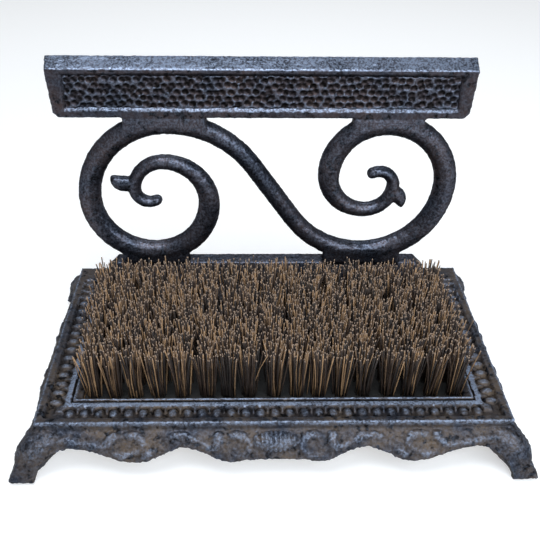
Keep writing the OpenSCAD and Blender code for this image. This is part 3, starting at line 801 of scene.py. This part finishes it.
def zinc_material(finishes):
    """Zinc plating with fine spangle."""
    tree, shader, place = material_base("zinc plate")
    skin = grouped(tree, "Cast Grain", {"Vector": place, "Grain": 1500.0, "Mottling": 300.0})
    dull = tuple(0.6 * c for c in finishes.zinc)
    feed(shader, {
        "Base Color": blended(tree, skin["Mottle"], dull, finishes.zinc),
        "Metallic": 1.0,
        "Roughness": mapped(tree, skin["Mottle"], 0.0, 1.0, 0.5, 0.3),
        "Normal": bumped(tree, skin["Height"], 0.15, 0.1 * MM),
    })


class SCRAPER_OT_finishes(Operator):
    """Make the materials that the pieces share"""
    bl_idname = "scraper.finishes"
    bl_label = "Finishes"

    def execute(self, context):
        finishes = context.scene.scraper_finishes
        cast_grain_group()
        wear_and_shade_group()
        wood_grain_group()
        iron_material("base iron", finishes, finishes.base_warm,
                      mottling=45.0, smooth=0.38, rough=0.58, bump=0.65, metal=0.5)
        iron_material("scraper iron", finishes, finishes.iron_warm,
                      mottling=35.0, smooth=0.30, rough=0.45, bump=0.45, metal=0.8)
        wood_material("block wood", finishes.wood, finishes.wood_dark)
        # Near-black board: painted shade between the tufts
        wood_material("board wood", finishes.board, finishes.board_dark)
        fibre_material(finishes)
        zinc_material(finishes)
        return {"FINISHED"}


class SCRAPER_OT_border(Operator):
    """Cast the top of the base with its bead border"""
    bl_idname = "scraper.border"
    bl_label = "Bead border"

    def execute(self, context):
        casting = context.scene.scraper_casting
        sizes = context.scene.scraper_base
        border = context.scene.scraper_border
        root_in_apron = 3 * MM
        bm = solid_copy("base_casting")
        cut_level(bm, sizes.under - root_in_apron, True)
        level_border(bm, sizes)
        bm = recast(bm, casting.border_cell, casting.border_passes)
        bm.normal_update()
        bead_border(bm, sizes, border)
        score_border(bm, sizes)
        soften(bm, bm.verts, 0.4)
        roughen(bm, casting.skin, casting.skin_grain)
        bm = modified(bm, ("DECIMATE", {"ratio": casting.border_keep}))
        rub(bm, lambda vert: border_wear_and_light(sizes, border, vert.co))
        as_piece(bm, "base_border", "base iron", ["base_casting"])
        return {"FINISHED"}


class SCRAPER_OT_apron(Operator):
    """Cast the scalloped apron and feet with their ribbon and leaf relief"""
    bl_idname = "scraper.apron"
    bl_label = "Apron and feet"

    def execute(self, context):
        casting = context.scene.scraper_casting
        sizes = context.scene.scraper_base
        below_border = 0.1 * MM
        bm = solid_copy("base_casting")
        cut_level(bm, sizes.under - below_border, False)
        add_relief(bm, sizes, context.scene.scraper_relief)
        bm = recast(bm, casting.apron_cell, casting.apron_passes)
        roughen(bm, casting.apron_skin, casting.skin_grain)
        bm = modified(bm, ("DECIMATE", {"ratio": casting.apron_keep}))
        for vert in bm.verts:
            vert.co.z = max(0.0, vert.co.z)
        rub(bm, lambda vert: apron_highlight(sizes, vert))
        as_piece(bm, "base_apron", "base iron", ["base_casting"])
        return {"FINISHED"}


class SCRAPER_OT_shells(Operator):
    """Turn the reeded shells in the middle of the front and back"""
    bl_idname = "scraper.shells"
    bl_label = "Reeded shells"

    def execute(self, context):
        sizes = context.scene.scraper_base
        relief = context.scene.scraper_relief
        out = apron_reach(sizes, False, relief.shell_middle) + relief.shell_rise - relief.shell_radius
        bm = bmesh.new()
        for side in (-1, 1):
            shell = self.turned(relief)
            bmesh.ops.translate(shell, verts=shell.verts, vec=(0, side * out, relief.shell_middle))
            join(bm, shell)
        # Painted sheen all over the shells
        rub(bm, lambda vert: SHELL_SHEEN)
        as_piece(bm, "base_shells", "base iron", ["base_casting"])
        return {"FINISHED"}

    def turned(self, relief):
        """Shell about the X axis, pinched in between its reeds and rounded off at its ends."""
        fullness = 2.6
        steps = 10 * relief.shell_reeds
        shell = bmesh.new()
        profile = []
        for i in range(steps + 1):
            x = 2 * i / steps - 1
            groove = 1 - abs(math.sin(math.pi * relief.shell_reeds * (x + 1) / 2))
            r = (relief.shell_radius - relief.reed_depth * groove) * (1 - abs(x) ** fullness) ** 0.5
            profile.append(shell.verts.new((x * relief.shell_length / 2, 0, r)))
        edges = [shell.edges.new(pair) for pair in zip(profile, profile[1:])]
        bmesh.ops.spin(shell, geom=profile + edges, axis=(1, 0, 0), cent=(0, 0, 0), angle=math.tau, steps=40,
                       use_merge=True)
        bmesh.ops.remove_doubles(shell, verts=shell.verts, dist=0.01 * MM)
        bmesh.ops.recalc_face_normals(shell, faces=shell.faces)
        return shell


class SCRAPER_OT_scraper(Operator):
    """Cast the bar, scroll and blade"""
    bl_idname = "scraper.scraper"
    bl_label = "Bar, scroll and blade"

    def execute(self, context):
        casting = context.scene.scraper_casting
        panel = context.scene.scraper_panel
        bar_height, margin = 15 * MM, 1 * MM
        low = SCRAPER_LOW.z + bar_height + margin
        high = panel_low() - panel.foot - margin
        bm = recast(solid_copy("scraper_casting"), casting.scraper_cell, casting.scraper_passes)
        rod = [vert for vert in bm.verts if low < vert.co.z < high]
        for _ in range(casting.rod_passes):
            soften(bm, rod, 0.5)
        bm.normal_update()
        for vert in rod:
            vert.co += vert.normal * casting.rod_swell
        self.clear_panel(bm, panel)
        roughen(bm, casting.skin, casting.skin_grain)
        rub(bm, lambda vert: self.blade_wear_and_highlight(panel, vert))
        as_piece(bm, "scraper_iron", "scraper iron", ["scraper_casting"])
        return {"FINISHED"}

    def blade_wear_and_highlight(self, panel, vert):
        """Wear and painted light on the scraper: wear and a painted highlight on the slopes to the scraping
        edge, painted highlights on the blade's upward-facing ledges and on the rods' upper front sides.
        """
        ledge_facing = 0.35
        if vert.co.z > SCRAPER_HIGH.z - panel.bevel:
            return BEVEL_WEAR_AND_HIGHLIGHT
        if vert.co.z > panel_low() - panel.foot:
            # Painted highlight on upward-facing ledges
            return LEDGE_HIGHLIGHT if vert.normal.z > ledge_facing else 0.0
        # Painted highlight on the rods' upper front sides
        return ROD_TOP_HIGHLIGHT * ease(0.7 * vert.normal.z - 0.5 * vert.normal.y)

    def clear_panel(self, bm, panel):
        """Push the floor of the blade's recess back, to make room for the dents."""
        facing_front = -0.9
        blade_y = (SCRAPER_HIGH.y + SCRAPER_LOW.y) / 2
        low_z = panel_low()
        for vert in bm.verts:
            if vert.co.y > blade_y or vert.normal.y > facing_front:
                continue
            if SCRAPER_LOW.x + panel.side < vert.co.x < SCRAPER_HIGH.x - panel.side:
                if low_z < vert.co.z < low_z + panel.height:
                    vert.co.y += panel.clearance


class SCRAPER_OT_panel(Operator):
    """Hammer the panel in the front of the blade"""
    bl_idname = "scraper.panel"
    bl_label = "Hammered panel"

    def execute(self, context):
        panel = context.scene.scraper_panel
        sheet, grit_size, grit, lift = 1.2 * MM, 1.2 * MM, 0.15, 0.2
        wide = SCRAPER_HIGH.x - SCRAPER_LOW.x - 2 * panel.side
        middle_x = (SCRAPER_HIGH.x + SCRAPER_LOW.x) / 2
        floor_y = (SCRAPER_HIGH.y + SCRAPER_LOW.y - panel.blade) / 2 + panel.recess
        middle_z = SCRAPER_HIGH.z - panel.head - panel.height / 2
        place = Matrix.Translation((middle_x, floor_y, middle_z)) @ Matrix.Rotation(math.pi / 2, 4, "X")
        bm = bmesh.new()
        columns, rows = int(wide / panel.cell), int(panel.height / panel.cell)
        bmesh.ops.create_grid(bm, x_segments=columns, y_segments=rows, size=0.5,
                              matrix=Matrix.Diagonal((wide, panel.height, 1, 1)))
        layer = bm.verts.layers.float.new("rub")
        for vert in bm.verts:
            bowl = self.bowl(vert.co.x / panel.dent_wide, vert.co.y / panel.dent_high)
            # Crests partly wear, partly painted highlight; dents darkened with painted shade
            vert[layer] = PANEL_WEAR_AND_HIGHLIGHT - DENT_SHADE * bowl
            vert.co.z += panel.dent_depth * (lift - bowl + grit * noise.noise(vert.co / grit_size))
        bmesh.ops.transform(bm, verts=bm.verts, matrix=place)
        bm.normal_update()
        bmesh.ops.solidify(bm, geom=bm.faces, thickness=sheet)
        as_piece(bm, "blade_panel", "scraper iron", ["scraper_casting"])
        return {"FINISHED"}

    def bowl(self, x, y):
        """Depth of the nearest dent, 1 in its middle, where dents lie a unit apart in uneven rows."""
        reach, unevenness, apart = 0.55, 0.6, Vector((0, 0, 7))
        row = round(y)
        nearest = 1
        for j in (row - 1, row, row + 1):
            shift = 0.5 * (j % 2)
            for i in (math.floor(x - shift), math.floor(x - shift) + 1):
                spot = Vector((i + 0.37, j + 0.61, 0.5))
                off_x = x - i - shift - unevenness * noise.noise(spot)
                off_y = y - j - unevenness * noise.noise(spot + apart)
                nearest = min(nearest, math.hypot(off_x, off_y))
        return max(0, 1 - (nearest / reach) ** 2)


class SCRAPER_OT_board(Operator):
    """Fit the wooden block of the brush, and the board that its tufts stand on"""
    bl_idname = "scraper.board"
    bl_label = "Brush board"

    def execute(self, context):
        brush = context.scene.scraper_brush
        inset = context.scene.scraper_base.block_edge + brush.gap
        size = BLOCK_HIGH - BLOCK_LOW - Vector((2 * inset, 2 * inset, 0))
        middle = (BLOCK_HIGH + BLOCK_LOW) / 2
        bm = bmesh.new()
        place = Matrix.Translation((middle.x, middle.y, BLOCK_HIGH.z + brush.board / 2))
        bmesh.ops.create_cube(bm, size=1, matrix=place @ Matrix.Diagonal((size.x, size.y, brush.board, 1)))
        round_edges(bm, bm.edges[:], width=0.3 * MM)
        as_piece(bm, "brush_board", "board wood")
        block = soft_edged("brush_block", width=0.8 * MM)
        as_piece(block, "brush_block_wood", "block wood", ["brush_block"])
        return {"FINISHED"}


def fibre_stock():
    """Five-sided shaft of unit length and radius that every bristle is a bent copy of."""
    bm = bmesh.new()
    bmesh.ops.create_cone(bm, cap_ends=True, segments=5, radius1=1, radius2=0.85, depth=1,
                          matrix=Matrix.Translation((0, 0, 0.5)))
    shafts = [edge for edge in bm.edges if abs(edge.verts[0].co.z - edge.verts[1].co.z) > 0.5]
    bmesh.ops.subdivide_edges(bm, edges=shafts, cuts=2)
    return meshed(bm)


def grow_fibre(bm, stock, shade, root, tip, bow, radius):
    """One fibre from root to tip that bows a little."""
    tone = bm.verts.layers.float["tone"]
    along = bm.verts.layers.float["along"]
    for vert in add_stock(bm, stock):
        t = vert.co.z
        vert.co = root.lerp(tip, t) + bow * (t * (1 - t)) + Vector((vert.co.x, vert.co.y, 0)) * radius
        vert[tone] = shade
        vert[along] = t


def grow_tuft(bm, stock, draw, brush, root_spot, tip_spot):
    """Tuft of fibres that spread out from its root, each a little astray."""
    sway, droop, bow_reach, pinch, darkness = 0.6, 2.4, 2.5, 3 * MM, 1.3
    turn = draw.uniform(0, math.tau)
    for i in range(brush.fibres):
        out = math.sqrt((i + 0.5) / brush.fibres)
        a = turn + i * GOLDEN
        way = Vector((math.cos(a), math.sin(a), 0)) * out
        wander = Vector((draw.gauss(0, sway), draw.gauss(0, sway), draw.uniform(-droop, 0)))
        root = root_spot + way * brush.root
        tip = tip_spot + way * brush.spread + wander * brush.ragged
        bow = Vector((draw.gauss(0, 1), draw.gauss(0, 1), 0)) * bow_reach * MM - way * pinch
        radius = brush.fibre * draw.uniform(0.75, 1.1)
        grow_fibre(bm, stock, draw.random() ** darkness, root, tip, bow, radius)


def grow_stray(bm, stock, draw, brush, root_spot, tip_spot):
    """Thin pale fibre that leans out of its row."""
    reach, drop, shade, thinness = 6 * MM, 1 * MM, 0.9, 0.7
    tip = tip_spot + Vector((draw.gauss(0, 1), draw.gauss(0, 0.5), 0)) * reach - Vector((0, 0, drop))
    bow = Vector((draw.gauss(0, 1), 0, 0)) * reach
    grow_fibre(bm, stock, shade, root_spot, tip, bow, thinness * brush.fibre)


class SCRAPER_OT_bristles(Operator):
    """Set the tufts of plant fibre, row by row"""
    bl_idname = "scraper.bristles"
    bl_label = "Bristles"

    def execute(self, context):
        sizes = context.scene.scraper_base
        brush = context.scene.scraper_brush
        root_sink, unevenness, stray_span = 0.5 * MM, 0.35, 0.48
        inset = sizes.block_edge + brush.gap
        wide = BLOCK_HIGH.x - BLOCK_LOW.x - 2 * inset + brush.crowd
        deep = BLOCK_HIGH.y - BLOCK_LOW.y - 2 * inset + brush.crowd
        middle_y = (BLOCK_HIGH.y + BLOCK_LOW.y) / 2
        root_z = BLOCK_HIGH.z + brush.board - root_sink
        tip_z = sizes.top + brush.rise
        stock = fibre_stock()
        for row, node in enumerate(BRISTLE_ROWS):
            draw = random.Random(row + 1)
            y = middle_y + ((row + 0.5) / len(BRISTLE_ROWS) - 0.5) * deep
            bm = bmesh.new()
            bm.verts.layers.float.new("tone")
            bm.verts.layers.float.new("along")
            for tuft in range(brush.tufts):
                x = ((tuft + 0.5) / brush.tufts - 0.5) * wide + draw.gauss(0, unevenness) * brush.ragged
                lean = Vector((2 * x / wide, 2 * (y - middle_y) / deep, 0)) * brush.lean
                grow_tuft(bm, stock, draw, brush, Vector((x, y, root_z)), Vector((x, y, tip_z)) + lean)
            for _ in range(brush.strays):
                x = draw.uniform(-stray_span, stray_span) * wide
                grow_stray(bm, stock, draw, brush, Vector((x, y, root_z)), Vector((x, y, tip_z)))
            as_piece(bm, "bristles_%d" % (row + 1), "plant fibre", [node])
        bpy.data.meshes.remove(stock)
        return {"FINISHED"}


class SCRAPER_OT_fasteners(Operator):
    """Finish the bolts, screws and washers under the base"""
    bl_idname = "scraper.fasteners"
    bl_label = "Bolts, screws and washers"

    def execute(self, context):
        for node in FASTENERS:
            bm = soft_edged(node, width=0.25 * MM)
            as_piece(bm, node + "_zinc", "zinc plate", [node])
        return {"FINISHED"}


class SCRAPER_OT_stage(Operator):
    """Set up the floor, light and camera"""
    bl_idname = "scraper.stage"
    bl_label = "Stage"

    def execute(self, context):
        stage = context.scene.scraper_stage
        finishes = context.scene.scraper_finishes
        self.lay_floor(finishes, stage)
        self.light_world(context.scene, finishes, stage)
        for name, settings in LAMPS.items():
            self.hang_lamp(name, getattr(stage, name), *settings)
        self.point_camera(context.scene, stage)
        context.scene.view_settings.view_transform = "Standard"
        return {"FINISHED"}

    def lay_floor(self, finishes, stage):
        bm = bmesh.new()
        bmesh.ops.create_grid(bm, x_segments=1, y_segments=1, size=6)
        mesh = meshed(bm, "floor")
        floor = placed("floor", mesh)
        tree, shader = material_base("pale floor")[:2]
        mesh.materials.append(bpy.data.materials["pale floor"])
        feed(shader, {
            "Base Color": (*finishes.floor, 1),
            "Roughness": 0.9,
            "Specular IOR Level": 0.0,
            "Emission Color": (1, 1, 1, 1),
            "Emission Strength": worked(tree, "MULTIPLY", self.seen_rays(tree), stage.glow),
        })

    def seen_rays(self, tree):
        """1 for rays that show the background: straight, mirrored or through glass."""
        path = node_in(tree, "ShaderNodeLightPath").outputs
        mirrored = worked(tree, "MAXIMUM", path["Is Camera Ray"], path["Is Glossy Ray"])
        return worked(tree, "MAXIMUM", mirrored, path["Is Transmission Ray"])

    def light_world(self, scene, finishes, stage):
        """Soft light that grows from the horizon to overhead."""
        world = bpy.data.worlds.new("studio")
        scene.world = world
        world.use_nodes = True
        tree = world.node_tree
        way = node_in(tree, "ShaderNodeTexCoord").outputs["Generated"]
        height = node_in(tree, "ShaderNodeSeparateXYZ", {0: way}).outputs["Z"]
        feed(tree.nodes["Background"], {
            "Color": (*finishes.sky, 1),
            "Strength": mapped(tree, height, 0.0, 1.0, stage.horizon, stage.zenith),
        })

    def hang_lamp(self, name, watts, size, place, target, tint):
        data = bpy.data.lights.new(name, "AREA")
        data.shape = "RECTANGLE"
        data.size, data.size_y = size
        data.energy = watts
        data.color = tint
        lamp = placed(name, data)
        lamp.location = place
        lamp.rotation_euler = (Vector(target) - Vector(place)).to_track_quat("-Z", "Y").to_euler()

    def point_camera(self, scene, stage):
        data = bpy.data.cameras.new("camera")
        data.lens = stage.lens
        data.sensor_width = 36
        camera = placed("camera", data)
        turn = Matrix.Rotation(-stage.yaw, 4, "Z") @ Matrix.Rotation(math.pi / 2 - stage.pitch, 4, "X")
        camera.matrix_world = Matrix.Translation(stage.camera) @ turn @ Matrix.Rotation(stage.roll, 4, "Z")
        scene.camera = camera


class SCRAPER_PT_sidebar(Panel):
    """Boot scraper pieces in the 3D view's sidebar"""
    bl_idname = "SCRAPER_PT_sidebar"
    bl_label = "Boot Scraper"
    bl_space_type = "VIEW_3D"
    bl_region_type = "UI"
    bl_category = "Boot Scraper"

    def draw(self, context):
        for operator in OPERATORS:
            self.layout.operator(operator.bl_idname)
        for name in GROUPS:
            box = self.layout.box()
            group = getattr(context.scene, name)
            for key in group.__annotations__:
                box.prop(group, key)


GROUPS = {
    "scraper_casting": CastingSizes,
    "scraper_base": BaseSizes,
    "scraper_border": BorderSizes,
    "scraper_relief": ReliefSizes,
    "scraper_panel": PanelSizes,
    "scraper_brush": BrushSizes,
    "scraper_finishes": Finishes,
    "scraper_stage": StageSizes,
}
OPERATORS = (
    SCRAPER_OT_finishes, SCRAPER_OT_border, SCRAPER_OT_apron, SCRAPER_OT_shells, SCRAPER_OT_scraper,
    SCRAPER_OT_panel, SCRAPER_OT_board, SCRAPER_OT_bristles, SCRAPER_OT_fasteners, SCRAPER_OT_stage,
)


def register():
    for name, group in GROUPS.items():
        bpy.utils.register_class(group)
        setattr(bpy.types.Scene, name, bpy.props.PointerProperty(type=group))
    for operator in OPERATORS:
        bpy.utils.register_class(operator)
    bpy.utils.register_class(SCRAPER_PT_sidebar)


def unregister():
    bpy.utils.unregister_class(SCRAPER_PT_sidebar)
    for operator in reversed(OPERATORS):
        bpy.utils.unregister_class(operator)
    for name, group in GROUPS.items():
        delattr(bpy.types.Scene, name)
        bpy.utils.unregister_class(group)


def main():
    register()
    bpy.ops.scraper.finishes()
    bpy.ops.scraper.border()
    bpy.ops.scraper.apron()
    bpy.ops.scraper.shells()
    bpy.ops.scraper.scraper()
    bpy.ops.scraper.panel()
    bpy.ops.scraper.board()
    bpy.ops.scraper.bristles()
    bpy.ops.scraper.fasteners()
    bpy.ops.scraper.stage()


if __name__ == "__main__":
    main()
